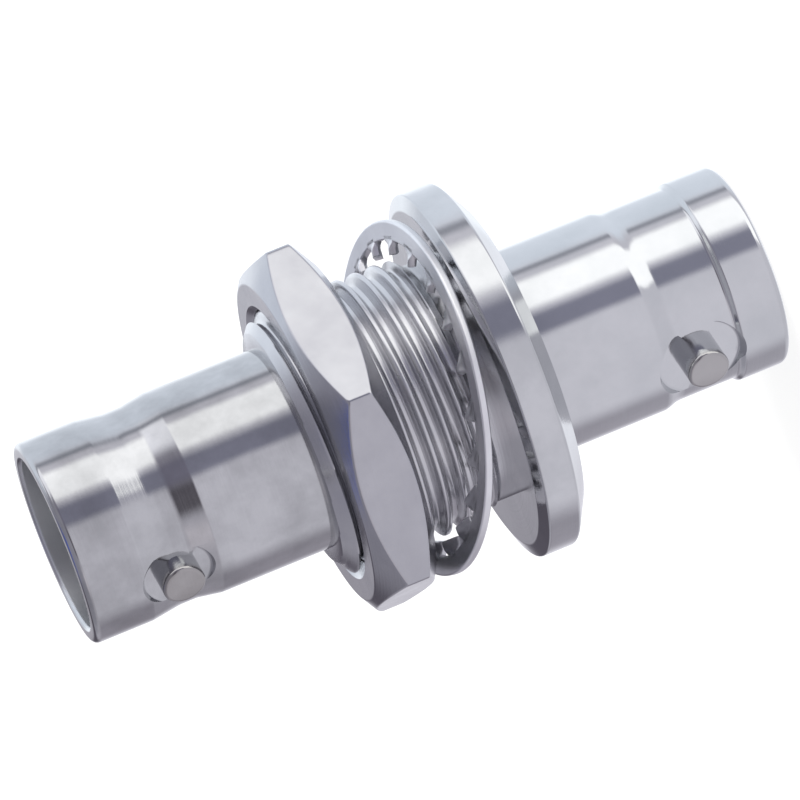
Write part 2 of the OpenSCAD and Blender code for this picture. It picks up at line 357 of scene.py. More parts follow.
# %% Make the threaded sleeve
SLEEVE_R, SLEEVE_SUNK = 4.6, 0.2  # inside of the sleeve, and how deep it goes into the flange


def panel_radius(theta, z):
    """The thread, held inside the chamfer at its end and the relief groove at its root."""
    chamfer = THREAD_R + CHAMFER_DEPTH * (THREAD_END - CHAMFER_LEN - z) / CHAMFER_LEN
    relief = THREAD_ROOT + np.maximum(0, z - FLANGE_FACE - RELIEF_W)
    return np.minimum(np.minimum(thread_radius(theta, z), np.minimum(chamfer, relief)), THREAD_R)


foot_z = FLANGE_FACE - SLEEVE_SUNK
foot = around(np.array([[SLEEVE_R, foot_z], [THREAD_ROOT, foot_z]]))
turns = climbing(FLANGE_FACE, THREAD_END, panel_radius, columns_round(192))
end = around(np.array([[SLEEVE_R, THREAD_END]]))
panel_thread = solid("panel_thread", [np.concatenate([foot, turns, end])], sharp=50)
print("panel_thread:", len(panel_thread.data.polygons), "faces")

# %% [markdown]
# ## The hexagon nut
# The nut is cut from hexagon bar, and a cone takes its corners down at both ends, which
# gives the curved edges on each flat. A boolean of a prism and a cone would do it too,
# but it leaves the edges sharp. So the grid goes round once: its radius is the
# hexagon's, and the cone meets that radius at a height that grows with it.

# %% Outline of the hexagon
NUT_AF, NUT_FACE_R, NUT_BEVEL, NUT_ANGLE = 16.2, 7.7, 31.0, 50.7
NUT_CORNER = 0.3  # rounding of the six corners
SIXTH = TURN / 6


def hexagon_radius(theta):
    """Distance to a hexagon with rounded corners. With q the angle from the nearest flat's
    middle the flat is at (af / 2) / cos q, and near a corner the distance is that to a circle
    of the corner's radius."""
    q = np.abs((theta - math.radians(NUT_ANGLE)) % SIXTH - SIXTH / 2)
    flat = NUT_AF / 2 / np.cos(q)
    centre = (NUT_AF / 2 - NUT_CORNER) / math.cos(SIXTH / 2)
    off = SIXTH / 2 - q
    across = np.maximum(NUT_CORNER ** 2 - (centre * np.sin(off)) ** 2, 0)
    arc = centre * np.cos(off) + np.sqrt(across)
    touch = math.atan(((NUT_AF / 2 - NUT_CORNER) * math.tan(SIXTH / 2)) / (NUT_AF / 2))
    return np.where(q < touch, flat, arc)


def nut_columns():
    """Angles with a few extra near each corner, where the outline bends fast."""
    beside_corner = np.radians([0.5, 1, 1.5, 2, 3])
    local = np.concatenate([np.linspace(-SIXTH / 2, SIXTH / 2, 29), -beside_corner, beside_corner])
    corner = math.radians(NUT_ANGLE) + np.arange(6)[:, None] * SIXTH
    every = (corner + np.unique(np.round(local, 6))).reshape(-1) % TURN
    return np.unique(np.round(np.concatenate([[0, TURN], every]), 6))


t_nut = nut_columns()
print("nut: %d columns, %.2f mm across corners" % (len(t_nut), 2 * hexagon_radius(t_nut).max()))

# %% Outside of the nut
NUT_HOLE_R = THREAD_R + 0.34  # at the faces, where a chamfer opens the hole


def bent(corners, radii, steps=4):
    """Rounds a row of corners for many outlines at once. corners is [corner, column, 2], and
    each inner corner gets a parabola between its tangent points."""
    out = [corners[0]]
    for k in range(1, len(corners) - 1):
        back, ahead = corners[k - 1] - corners[k], corners[k + 1] - corners[k]
        back = back / np.linalg.norm(back, axis=-1, keepdims=True)
        ahead = ahead / np.linalg.norm(ahead, axis=-1, keepdims=True)
        first, last = corners[k] + back * radii[k], corners[k] + ahead * radii[k]
        out.append(first + back * HOLD)
        for s in np.linspace(0, 1, steps + 1):
            out.append((1 - s) ** 2 * first + 2 * s * (1 - s) * corners[k] + s ** 2 * last)
        out.append(last + ahead * HOLD)
    out.append(corners[-1])
    return np.stack(out)


def nut_outside(t):
    """Rows from the hole's edge below, round the outside, to the hole's edge above. Past the
    face's radius the cone rises by (r - face) * tan(bevel)."""
    r = hexagon_radius(t)
    rise = (r - NUT_FACE_R) * math.tan(math.radians(NUT_BEVEL))
    half = [(NUT_HOLE_R, 0), (NUT_FACE_R, 0), (r, rise)]
    corners = [(radius, NUT_Z + z) for radius, z in half]
    corners += [(radius, NUT_TOP - z) for radius, z in half[::-1]]
    line = np.stack([np.stack([radius + 0 * r, z + 0 * r], -1) for radius, z in corners])
    line = bent(line, [0, 0.06, 0.08, 0.08, 0.06, 0])
    return polar(line[..., 0], t, line[..., 1])


print("rows round the outside of the nut:", len(nut_outside(t_nut)))

# %% The threaded hole, and the whole nut
NUT_ROOM, NUT_MINOR_R = 0.06, 5.9


def hole_radius(theta, z):
    """The nut's thread follows the bolt's with a little room, is cut off at its own minor
    radius, and opens in a 45-degree chamfer at each end."""
    chamfer = NUT_HOLE_R - np.minimum(z - NUT_Z, NUT_TOP - z)
    thread = np.maximum(thread_radius(theta, z) + NUT_ROOM, NUT_MINOR_R)
    return np.maximum(thread, chamfer)


hole_down = climbing(NUT_Z, NUT_TOP, hole_radius, t_nut)[::-1]
hexagon_nut = solid("hexagon_nut", [np.concatenate([nut_outside(t_nut), hole_down])], sharp=40)
print("hexagon_nut:", len(hexagon_nut.data.polygons), "faces")

# %% [markdown]
# ## The toothed lock washer
# The washer is stamped from spring steel: a flat band with short inner teeth, each
# twisted about its own length so that its corners bite. It isn't pressed flat yet, so
# it leans between the flange and the nut. The band is a rounded outline carried round,
# and one tooth is a rounded section that turns as it runs inwards, set out all round.

# %% One tooth
WASHER_R, WASHER_T, BAND, TEETH = 8.2, 0.4, 0.9, 20
TOOTH_W, TOOTH_TIP, TWIST = 1.1, THREAD_R + 0.4, -25.0
TOOTH_SUNK, TWIST_START, TWIST_RATE = 0.2, 0.15, 1.6  # depth in the band, start and speed of twist


def rounded_bar(width, thick, radius, steps=4):
    """Outline of a bar's section as (y, z) points, round its rounded corners once."""
    a = np.linspace(0, TURN / 4, steps + 1)
    corner = radius * np.stack([np.cos(a), np.sin(a)], -1)
    quarter = np.array([width / 2 - radius, thick / 2 - radius]) + corner
    half = np.concatenate([quarter, (quarter * [-1, 1])[::-1]])
    return np.concatenate([half, -half])


def tooth(rows=12, tip_round=0.05, tip_taper=0.88):
    """One tooth as a grid: its section (y, z) turns by a smooth step, 3 s^2 - 2 s^3, of the
    twist as s runs along it."""
    foot = WASHER_R - BAND + TOOTH_SUNK
    bend = foot - TWIST_START
    x = np.linspace(foot, TOOTH_TIP, rows)
    share = np.clip((bend - x) / (bend - TOOTH_TIP) * TWIST_RATE, 0, 1)
    turn = (np.radians(TWIST) * share * share * (3 - 2 * share))[:, None]
    y, z = rounded_bar(TOOTH_W, WASHER_T, 0.1).T
    points = [x[:, None] + 0 * y, y * np.cos(turn) - z * np.sin(turn),
              y * np.sin(turn) + z * np.cos(turn)]
    body = np.stack(points, -1)
    shrunk = body[-1:] * [1, tip_taper, 1] - [tip_round, 0, 0]
    root, tip = 0 * shrunk + [foot, 0, 0], 0 * shrunk + [TOOTH_TIP - tip_round, 0, 0]
    grid = np.concatenate([root, body, shrunk, tip])
    return np.concatenate([grid, grid[:, :1]], 1)


one_tooth = tooth()
print("one tooth is a grid of", one_tooth.shape[:2], "points")

# %% The band and all its teeth, leaning
LEAN_ANGLE, PLAY = 87.9, 0.08  # direction of the lowest point, and room left at both ends
gap = NUT_Z - FLANGE_FACE
LEAN = math.asin((gap - 2 * PLAY - WASHER_T) / (2 * WASHER_R))


def leaned(points):
    """Turns points of the flat washer about Y by the lean, then to the direction of the lowest
    point, and lifts them halfway from flange to nut."""
    aim = Matrix.Rotation(math.radians(LEAN_ANGLE), 3, "Z")
    turn = aim @ Matrix.Rotation(LEAN, 3, "Y")
    return points @ np.array(turn).T + np.array([0, 0, FLANGE_FACE + gap / 2])


inner, half_t = WASHER_R - BAND, WASHER_T / 2
band = rounded([(inner, -half_t), (WASHER_R, -half_t), (WASHER_R, half_t), (inner, half_t)],
               [0.06, 0.1, 0.1, 0.06])
spins = [np.array(Matrix.Rotation(k * TURN / TEETH, 3, "Z")) for k in range(TEETH)]
parts = [leaned(around(band))] + [leaned(one_tooth @ spin.T) for spin in spins]
toothed_washer = solid("toothed_washer", parts, sharp=40)
outward(toothed_washer)
print("toothed_washer leans %.1f degrees," % math.degrees(LEAN),
      len(toothed_washer.data.polygons), "faces")

# %% [markdown]
# ## Insulators
# A white plastic bead in each half holds the contact. Its nose stands in the mouth and
# the sleeve of a plug slides over it. It is turned too, so it is one more outline, and
# the upper bead is the lower one turned over.

# %% Make the insulators
NOSE_R, NOSE_SETBACK, CONTACT_R, SOCKET_R = 2.375, 4.25, 1.05, 0.7
EASE = 0.02  # room round the contact and inside the housing
hole_r, seat_r, seat_end = CONTACT_R + EASE, HOUSING_R - EASE, MIDDLE - LAND / 2
bead = rounded(
    [(hole_r, NOSE_SETBACK), (NOSE_R, NOSE_SETBACK), (NOSE_R, BORE_DEPTH),
     (seat_r, BORE_DEPTH), (seat_r, seat_end), (hole_r, seat_end)],
    [0.12, 0.2, 0.04, 0.1, 0.05, 0.05])
upper_outline = (bead * [1, -1] + [0, TOTAL])[::-1]
lower_bead = solid("lower_bead", [around(bead, 128)])
upper_bead = solid("upper_bead", [around(upper_outline, 128)])
print("beads:", len(lower_bead.data.polygons), "faces each")

# %% [markdown]
# ## The centre contact
# The contact is a gold-plated socket at each end of a rod, slotted into four springs.
# The springs could be cut with a boolean, but the slots are thin and their edges would
# need rounding. So each spring is a sector of a rounded wall outline, which gives it
# real thickness, and the slots are real gaps.

# %% One spring
TIP, SLOT_LEN, SLOT_W, SOCKET_DEPTH, COLLAR_R = NOSE_SETBACK + 0.25, 4.2, 0.2, 5.0, 1.6
SLOT_END = TIP + SLOT_LEN
JOIN = 0.1  # length by which a spring runs into the rod


def spring(number, turned, columns=17):
    """One quarter of a slotted socket: a wall outline swept through the angle between two
    slots, from which asin(slot / 2 / r) is taken on each side."""
    wall = rounded([(SOCKET_R, TIP), (CONTACT_R, TIP), (CONTACT_R, SLOT_END + JOIN),
                    (SOCKET_R, SLOT_END + JOIN)], [0.12, 0.1, 0.01, 0.01])
    r, z = wall[:, :1], wall[:, 1:]
    slot = np.arcsin(SLOT_W / 2 / r)
    first = TURN / 8 + number * TURN / 4
    t = first + slot + (TURN / 4 - 2 * slot) * np.linspace(0, 1, columns)
    grid = polar(r, t, z)
    middle = grid.mean(0, keepdims=True)
    ends = [np.repeat(middle[:, k:k + 1], len(grid), 0) for k in (0, columns - 1)]
    grid = np.concatenate([ends[0], grid, ends[1]], 1)
    return grid[::-1] * [1, 1, -1] + [0, 0, TOTAL] if turned else grid


springs = [spring(k, turned) for k in range(4) for turned in (False, True)]
print("springs:", len(springs), "grids of", springs[0].shape[:2], "points")

# %% The rod, and the whole contact
socket_end = [((0.001, TIP + SOCKET_DEPTH), 0.001), ((SOCKET_R, TIP + SOCKET_DEPTH), 0.05)]
rod_half = [
    ((SOCKET_R, SLOT_END), 0.02), ((CONTACT_R, SLOT_END), 0.02),
    ((CONTACT_R, MIDDLE - LAND / 2), 0.02), ((COLLAR_R, MIDDLE - LAND / 2), 0.05)]
lower_rod = socket_end[1:] + rod_half
corners, radii = zip(*(lower_rod + turned_over(socket_end + rod_half) + socket_end[:1]))
rod = rounded(corners, radii)
gold_contact = solid("gold_contact", [around(rod, 96)] + springs, sharp=35)
outward(gold_contact)
print("gold_contact:", len(gold_contact.data.polygons), "faces")

# %% [markdown]
# ## Finishes
# Each finish starts from what the real one is. One function turns hex colours to
# linear values, and one adds a node with its settings and links. The patterns read a
# piece's own coordinates, so they stay on it when it moves.

# %% Helpers for colours and nodes
COLOUR_A, COLOUR_B, MIXED = 6, 7, 2  # a Mix node's two colour sockets and its colour output


def linear(code):
    """A hex colour as linear red, green, blue and alpha: below 0.04045 a value is divided by
    12.92, and above it is ((value + 0.055) / 1.055) ^ 2.4."""
    s = np.array([int(code[k:k + 2], 16) for k in (1, 3, 5)]) / 255
    return (*np.where(s <= 0.04045, s / 12.92, ((s + 0.055) / 1.055) ** 2.4).tolist(), 1.0)


def add(tree, kind, inputs=None, stops=None, **settings):
    """Adds a node. inputs are values or the sockets that feed it, and stops are (place, hex
    colour) of a ramp."""
    node = tree.nodes.new(kind)
    for name, value in settings.items():
        setattr(node, name, value)
    for name, value in (inputs or {}).items():
        if isinstance(value, bpy.types.NodeSocket):
            tree.links.new(value, node.inputs[name])
        else:
            node.inputs[name].default_value = value
    for k, (place, code) in enumerate(stops or []):
        ramp = node.color_ramp.elements
        stop = ramp[k] if k < len(ramp) else ramp.new(place)
        stop.position, stop.color = place, linear(code)
    return node


def material(name):
    """An empty node material with its output."""
    made = bpy.data.materials.new(name)
    made.use_nodes = True
    made.node_tree.nodes.clear()
    return made, made.node_tree, made.node_tree.nodes.new("ShaderNodeOutputMaterial")


def lathe_place(tree):
    """Where a point is on the piece, in millimetres: its place, its distance from the axis,
    which is the length of (x, y, 0), and its height z."""
    place = add(tree, "ShaderNodeTexCoord").outputs["Object"]
    mm = add(tree, "ShaderNodeVectorMath", {0: place, "Scale": 1000.0},
             operation="SCALE").outputs[0]
    flat = add(tree, "ShaderNodeVectorMath", {0: mm, 1: (1, 1, 0)},
               operation="MULTIPLY").outputs[0]
    radius = add(tree, "ShaderNodeVectorMath", {0: flat}, operation="LENGTH").outputs["Value"]
    return mm, radius, add(tree, "ShaderNodeSeparateXYZ", {0: mm}).outputs["Z"]


print("mid grey is", [round(v, 3) for v in linear("#808080")[:3]])

# %% [markdown]
# ### Satin nickel plate on turned brass
# Electroplated nickel copies the surface under it, so the tool's marks show through:
# rings round the barrels and on the flat faces. The rings depend on the distance from
# the axis and the height, so that pair is fed to a noise texture. Tool marks are about
# 0.05 mm apart, drawn here at 0.12 mm so that they show. Handling adds faint smudges.
# A painted shade darkens the upper jack, patchy with the smudges, and a plug's ramps have
# rubbed the tips of the lugs towards the brass. Inside the mouths the plating is thin and
# rough, so it doesn't mirror there.

# %% Colour of the plate
# Painted shade: the first tone is a dark shade painted over the upper jack between the heights
# below; the second is brass on worn lug tips.
PAINTED_SHADE, RUBBED_BRASS = "#524a4b", "#7c7066"
SHADE_FROM, SHADE_TO = 8.0, 24.0  # heights between which the plate gets dull
TIP_FROM, TIP_TO = 5.1, 5.4  # radii between which a lug's tip gets rubbed
LUG_ZONE = 11.0  # the lugs are further than this from the tube's middle


def plate_colour(tree, smudge, inside, radius, height, tint, upper_shade, worn):
    """The plate's tint by its smudges, mixed to a painted shade up the tube but not in the bores,
    and to rubbed brass on the tips of the lugs."""
    tone = add(tree, "ShaderNodeValToRGB", {"Fac": smudge}, stops=[(0.3, tint[0]), (0.7, tint[1])])
    upwards = add(tree, "ShaderNodeMapRange", {
        "Value": height, "From Min": SHADE_FROM, "From Max": SHADE_TO,
        "To Min": 0.0, "To Max": upper_shade}).outputs["Result"]
    patchy = add(tree, "ShaderNodeMapRange", {
        "Value": smudge, "From Min": 0.35, "From Max": 0.65,
        "To Min": 0.6, "To Max": 1.4}).outputs["Result"]
    darkened = add(tree, "ShaderNodeMath", {0: upwards, 1: patchy}, operation="MULTIPLY").outputs[0]
    darkened = add(tree, "ShaderNodeMath", {0: darkened, 1: inside},
               operation="SUBTRACT", use_clamp=True).outputs[0]
    # Painted shade: the dark tone is mixed in up the tube, patchy with the smudges, but not in the
    # bores.
    shaded_tone = add(tree, "ShaderNodeMix", {
        "Factor": darkened, COLOUR_A: tone.outputs["Color"], COLOUR_B: linear(PAINTED_SHADE)},
        data_type="RGBA").outputs[MIXED]
    offset = add(tree, "ShaderNodeMath", {0: height, 1: MIDDLE}, operation="SUBTRACT").outputs[0]
    near_middle = add(tree, "ShaderNodeMath", {0: offset, 1: 0.0, 2: LUG_ZONE},
                      operation="COMPARE").outputs[0]
    at_jack = add(tree, "ShaderNodeMath", {0: 1.0, 1: near_middle},
                  operation="SUBTRACT").outputs[0]
    at_tip = add(tree, "ShaderNodeMapRange", {
        "Value": radius, "From Min": TIP_FROM, "From Max": TIP_TO,
        "To Min": 0.0, "To Max": worn}).outputs["Result"]
    rubbed = add(tree, "ShaderNodeMath", {0: at_tip, 1: at_jack}, operation="MULTIPLY").outputs[0]
    return add(tree, "ShaderNodeMix", {
        "Factor": rubbed, COLOUR_A: shaded_tone, COLOUR_B: linear(RUBBED_BRASS)},
        data_type="RGBA").outputs[MIXED]


print("plate gets dull from %g to %g mm up the tube" % (SHADE_FROM, SHADE_TO))

# %% Marks in the plate
def plate_marks(tree, mm, radius, height, marks, grain):
    """Normals of the plate: shallow waves 2 mm long, turning rings that follow (radius, height),
    and a fine grain, each bump laid on the one before."""
    lathe = add(tree, "ShaderNodeCombineXYZ", {"X": radius, "Z": height}).outputs[0]
    waves = add(tree, "ShaderNodeTexNoise", {"Vector": mm, "Scale": 0.45, "Detail": 1.0})
    rings = add(tree, "ShaderNodeTexNoise", {
        "Vector": lathe, "Scale": 8.0, "Detail": 3.0, "Roughness": 0.65})
    fine = add(tree, "ShaderNodeTexNoise", {"Vector": mm, "Scale": 14.0, "Detail": 2.0})
    bumps = [(waves, 1.0, 0.00001), (rings, 0.35 * marks, 0.00003), (fine, 0.08 + grain, 0.00001)]
    below = {}
    for noise, strength, distance in bumps:
        bump = add(tree, "ShaderNodeBump", {
            "Height": noise.outputs["Fac"], "Strength": strength, "Distance": distance, **below})
        below = {"Normal": bump.outputs[0]}
    return below["Normal"]


def nickel(name, tint, roughness, marks=1.0, grain=0.0, bore=0.0, upper_shade=0.0, worn=0.0):
    """Nickel plate. marks is the strength of its turning rings and grain of its fine texture,
    bore adds roughness inside the mouths, the argument after bore paints shade over the upper
    jack, and worn lets the brass show on the tips of the lugs."""
    made, tree, out = material(name)
    mm, radius, height = lathe_place(tree)
    smudge = add(tree, "ShaderNodeTexNoise", {
        "Vector": mm, "Scale": 0.35, "Detail": 4.0, "Roughness": 0.6}).outputs["Fac"]
    inside = add(tree, "ShaderNodeMapRange", {
        "Value": radius, "From Min": BORE_R - 0.05, "From Max": BORE_R + 0.1,
        "To Min": 1.0, "To Max": 0.0}).outputs["Result"]
    rough = add(tree, "ShaderNodeMapRange", {
        "Value": smudge, "From Min": 0.3, "From Max": 0.75,
        "To Min": roughness * 0.85, "To Max": roughness * 1.25}).outputs["Result"]
    rough = add(tree, "ShaderNodeMath", {0: inside, 1: bore, 2: rough},
                operation="MULTIPLY_ADD").outputs[0]
    shader = add(tree, "ShaderNodeBsdfPrincipled", {
        "Base Color": plate_colour(tree, smudge, inside, radius, height, tint, upper_shade, worn),
        "Metallic": 1.0, "Roughness": rough,
        "Normal": plate_marks(tree, mm, radius, height, marks, grain)})
    tree.links.new(shader.outputs[0], out.inputs["Surface"])
    return made


# A soft mirror: bands of light and shade run along the barrels, a little broken by the rings,
# and a painted shade darkens the upper jack.
satin_nickel = nickel("satin_nickel_on_turned_brass", ("#d1d2d4", "#c7c9cb"), 0.09,
                      marks=0.25, bore=0.55, upper_shade=0.22, worn=0.4)
print("finish of the body:", satin_nickel.name)

# %% [markdown]
# ### Nickel on the thread, the nut and the washer
# The same plate looks different where the metal below was made another way. A cut
# thread is torn a little by its tool, so its highlights spread. Drawn hexagon bar is
# greyer and even. Stamped spring steel has a fine grain from rolling and looks paler,
# because it scatters the light all round.

# %% Three more nickel finishes
# Spread highlights, so that the crests look soft and silvery.
thread_nickel = nickel("nickel_on_cut_thread", ("#d0d0d2", "#c4c4c8"), 0.24, marks=0.3)
# Broad even greys, a different one on each flat.
nut_nickel = nickel("nickel_on_hexagon_bar", ("#bcbcc0", "#b2b2b7"), 0.18, marks=0.3, grain=0.1)
# Pale and matt, with bright edges.
washer_nickel = nickel("nickel_on_stamped_spring_steel", ("#ececee", "#e2e2e5"), 0.34,
                       marks=0.2, grain=0.1)
print("other plated finishes:", thread_nickel.name, nut_nickel.name, washer_nickel.name)

# %% [markdown]
# ### PTFE and gold plate
# The insulators are turned from white PTFE, waxy and slightly see-through, with faint
# tool rings 0.14 mm apart. The contact is gold plated over a nickel layer, so it is a
# little paler than solid gold, and its springs show fine marks along their length.

# %% Plastic and gold finishes
def ptfe():
    """Waxy white plastic: cloudy tint by a noise of 2 mm, and rings by the radius alone."""
    made, tree, out = material("turned_white_ptfe")
    mm, radius, _ = lathe_place(tree)
    along_radius = add(tree, "ShaderNodeCombineXYZ", {"X": radius}).outputs[0]
    rings = add(tree, "ShaderNodeTexNoise", {"Vector": along_radius, "Scale": 7.0, "Detail": 2.0})
    cloud = add(tree, "ShaderNodeTexNoise", {"Vector": mm, "Scale": 0.5, "Detail": 3.0})
    tone = add(tree, "ShaderNodeValToRGB", {"Fac": cloud.outputs["Fac"]},
               stops=[(0.35, "#f3f2ee"), (0.7, "#e6e5df")])
    lines = add(tree, "ShaderNodeBump", {
        "Height": rings.outputs["Fac"], "Strength": 0.3, "Distance": 0.00004})
    shader = add(tree, "ShaderNodeBsdfPrincipled", {
        "Base Color": tone.outputs["Color"], "Roughness": 0.42, "IOR": 1.35,
        "Subsurface Weight": 0.15, "Subsurface Radius": (0.0008, 0.0008, 0.0007),
        "Subsurface Scale": 1.0, "Normal": lines.outputs[0]})
    tree.links.new(shader.outputs[0], out.inputs["Surface"])
    return made


def gold():
    """Gold plate: a noise stretched ten times along the contact tints it and marks it."""
    made, tree, out = material("gold_plate_over_nickel")
    place = add(tree, "ShaderNodeTexCoord").outputs["Object"]
    stretched = add(tree, "ShaderNodeMapping", {
        "Vector": place, "Scale": (9000.0, 9000.0, 900.0)}).outputs[0]
    marks = add(tree, "ShaderNodeTexNoise", {"Vector": stretched, "Scale": 1.0, "Detail": 3.0})
    tone = add(tree, "ShaderNodeValToRGB", {"Fac": marks.outputs["Fac"]},
               stops=[(0.3, "#e6c36e"), (0.75, "#d6ab52")])
    lines = add(tree, "ShaderNodeBump", {
        "Height": marks.outputs["Fac"], "Strength": 0.25, "Distance": 0.00002})
    shader = add(tree, "ShaderNodeBsdfPrincipled", {
        "Base Color": tone.outputs["Color"], "Metallic": 1.0, "Roughness": 0.24,
        "Normal": lines.outputs[0]})
    tree.links.new(shader.outputs[0], out.inputs["Surface"])
    return made


# The plastic glows a little from within, and the gold is a warm, narrow gleam in the mouth.
white_ptfe, gold_plate = ptfe(), gold()
print("other finishes:", white_ptfe.name, gold_plate.name)

# %% [markdown]
# ## Pieces on their bodies
# The body, its thread, the beads and the contact don't move against each other. The
# washer slides on the thread, and the nut turns behind it. So each piece is given its finish
# and the moving body it rides on, and the CAD nodes that it stands for are hidden.

# %% Give each piece its finish and body, from a table that also names its slot
pieces = [
    (jack_body, "adapter", "nickel_plate", satin_nickel, ["connector_body"]),
    (panel_thread, "adapter", "nickel_plate", thread_nickel, []),
    (lower_bead, "adapter", "ptfe", white_ptfe, ["lower_insulator"]),
    (upper_bead, "adapter", "ptfe", white_ptfe, ["upper_insulator"]),
    (gold_contact, "adapter", "gold_plate", gold_plate, ["centre_contact"]),
    (toothed_washer, "washer", "washer_plate", washer_nickel, ["lock_washer"]),
    (hexagon_nut, "nut", "nickel_plate", nut_nickel, ["hex_nut"])]
for piece, body, slot, finish, nodes in pieces:
    piece.data.materials.clear()
    piece.data.materials.append(finish)
    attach(piece, body)
    if nodes:
        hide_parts(*nodes)
    print("%-16s rides on %-8s %6d faces" % (piece.name, body, len(piece.data.polygons)))

# %% [markdown]
# ## Floor
# The object stands on white paper. A white that clips would lose the shadow, so the
# paper itself is a light grey that takes the shadow, and a glow that only the camera
# sees lifts it to white.

# %% Make the floor
FLOOR_R, FLOOR_DROP, PAPER, PAPER_GLOW = 3.0, 0.00002, "#b4b4b4", 0.76


def disc(name, radius, height, columns=96, middle=0.02):
    """A flat round sheet in metres: a ring of quads from the middle out, (r cos t, r sin t,
    height), round one flat face."""
    t = np.linspace(0, TURN, columns, endpoint=False)
    points = polar(np.array([[middle], [radius]]), t, height).reshape(-1, 3)
    k = np.arange(columns)
    after = (k + 1) % columns
    quads = np.stack([k, k + columns, after + columns, after], -1)
    mesh = bpy.data.meshes.new(name)
    mesh.from_pydata(points.tolist(), [], quads.tolist() + [k.tolist()])
    obj = bpy.data.objects.new(name, mesh)
    bpy.context.scene.collection.objects.link(obj)
    return obj


floor = disc("studio_floor", FLOOR_R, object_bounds()[0][2] - FLOOR_DROP)
paper, tree, out = material("white_paper_floor")
eye = add(tree, "ShaderNodeLightPath").outputs["Is Camera Ray"]
sheet = add(tree, "ShaderNodeBsdfDiffuse", {"Color": linear(PAPER)}).outputs[0]
lift = add(tree, "ShaderNodeMath", {0: eye, 1: PAPER_GLOW}, operation="MULTIPLY").outputs[0]
glow = add(tree, "ShaderNodeEmission", {"Color": (1, 1, 1, 1), "Strength": lift}).outputs[0]
both = add(tree, "ShaderNodeAddShader", {0: sheet, 1: glow}).outputs[0]
tree.links.new(both, out.inputs["Surface"])
floor.data.materials.append(paper)
floor.visible_glossy = False
print("floor at z = %.5f m" % floor.data.vertices[0].co.z)

# %% [markdown]
# ## Light tent
# Bright metal shows its surroundings more than its own colour. In a studio the object
# stands in a light tent, with cards set round it that draw its edges. The tent here is
# a ball that only reflections see. Its cloth changes tone with height, and each card is
# a soft-edged window in direction and height with a tone of its own, laid over the
# cloth in order. A card can so be moved without touching the metal.

# %% Plan the tent
TENT_R, TENT_STRENGTH = 1.5, 1.75
CLOTH = [(-90, "#b0b0b7"), (-30, "#b2b1b8"), (-10, "#b8b7be"), (5, "#a4a2a9"),
         (25, "#87868e"), (60, "#7f7e87"), (90, "#7e7d88")]  # height in degrees and tone
# Each card has the direction and height of its middle, its half width, half height and soft
# edge, all in degrees, and its tone.
CARDS = [
    ("wall behind", 178, 6, 35, 52, 12, "#c4cad3"),
    ("foot of the wall", -142, -54, 22, 22, 12, "#d9dbe1"),
    ("window in the wall behind", -150, -5, 10, 26, 8, "#dadfe5"),
    ("side wall in shade", -89, -6, 26, 12, 14, "#817e86"),
    ("panel above the softbox", 119, 20, 23, 20, 8, "#e2e2e7"),
    ("side softbox", 106, -30, 18, 34, 5, "#f6f6f6"),
    ("foot of the softbox", 94, -42, 27, 24, 4, "#f6f6f6"),
    ("dark strip beside the softbox", 138.5, 12, 3.5, 30, 4, "#80828a"),
    ("dark strip beside the camera", 69, -2, 12, 19, 5, "#757583"),
    ("shaded card above the camera", 69, 14, 26, 7, 18, "#666371"),
    ("pale card above the camera", -8, 14, 15, 7, 10, "#b9b5bb"),
    ("dark card above the camera", 38, 14, 17, 7, 8, "#4d4a50"),
    ("dark side card", -121, 28, 11, 27, 7, "#4b4850"),
    ("dark top card", -136, 50, 12, 14, 8, "#575766"),
    ("blue card overhead", -126, 71, 20, 14, 7, "#43559c"),
    ("top light", 143, 52, 14, 8, 8, "#dcdee4")]


def tent_ball(radius, rows=32, columns=64):
    """A sphere from its two angles, (cos v cos t, cos v sin t, sin v), faces turned inwards."""
    v = np.linspace(-np.pi / 2, np.pi / 2, rows)[:, None]
    grid = radius * polar(np.cos(v), columns_round(columns), np.sin(v))
    return solid("light_tent", [grid[::-1] / MM])


tent = tent_ball(TENT_R)
print("tent with %d cards: %s" % (len(CARDS), ", ".join(card[0] for card in CARDS)))

# %% Light the tent
cloth, tree, out = material("tent_cloth_with_cards")
ray = add(tree, "ShaderNodeTexCoord").outputs["Object"]
ray = add(tree, "ShaderNodeVectorMath", {0: ray}, operation="NORMALIZE").outputs[0]
x, y, z = add(tree, "ShaderNodeSeparateXYZ", {0: ray}).outputs
around_z = add(tree, "ShaderNodeMath", {0: y, 1: x}, operation="ARCTAN2").outputs[0]
above = add(tree, "ShaderNodeMath", {0: z}, operation="ARCSINE").outputs[0]
around_z, above = [add(tree, "ShaderNodeMath", {0: angle}, operation="DEGREES").outputs[0]
                   for angle in (around_z, above)]
share = add(tree, "ShaderNodeMapRange", {"Value": above, "From Min": -90, "From Max": 90})
tone = add(tree, "ShaderNodeValToRGB", {"Fac": share.outputs[0]},
           stops=[((height + 90) / 180, code) for height, code in CLOTH]).outputs["Color"]
for name, direction, height, half_width, half_height, soft, code in CARDS:
    windows = []  # 1 inside half a width, 0 outside it, with a soft edge between
    for angle, middle, half in ((around_z, direction, half_width), (above, height, half_height)):
        off = add(tree, "ShaderNodeMath", {0: angle, 1: middle}, operation="SUBTRACT").outputs[0]
        off = add(tree, "ShaderNodeMath", {0: off, 1: 180, 2: -180}, operation="WRAP").outputs[0]
        off = add(tree, "ShaderNodeMath", {0: off}, operation="ABSOLUTE").outputs[0]
        windows.append(add(tree, "ShaderNodeMapRange", {
            "Value": off, "From Min": half + soft, "From Max": half - soft},
            interpolation_type="SMOOTHSTEP").outputs[0])
    card = add(tree, "ShaderNodeMath", dict(enumerate(windows)), operation="MULTIPLY").outputs[0]
    tone = add(tree, "ShaderNodeMix", {"Factor": card, COLOUR_A: tone, COLOUR_B: linear(code)},
               data_type="RGBA").outputs[MIXED]
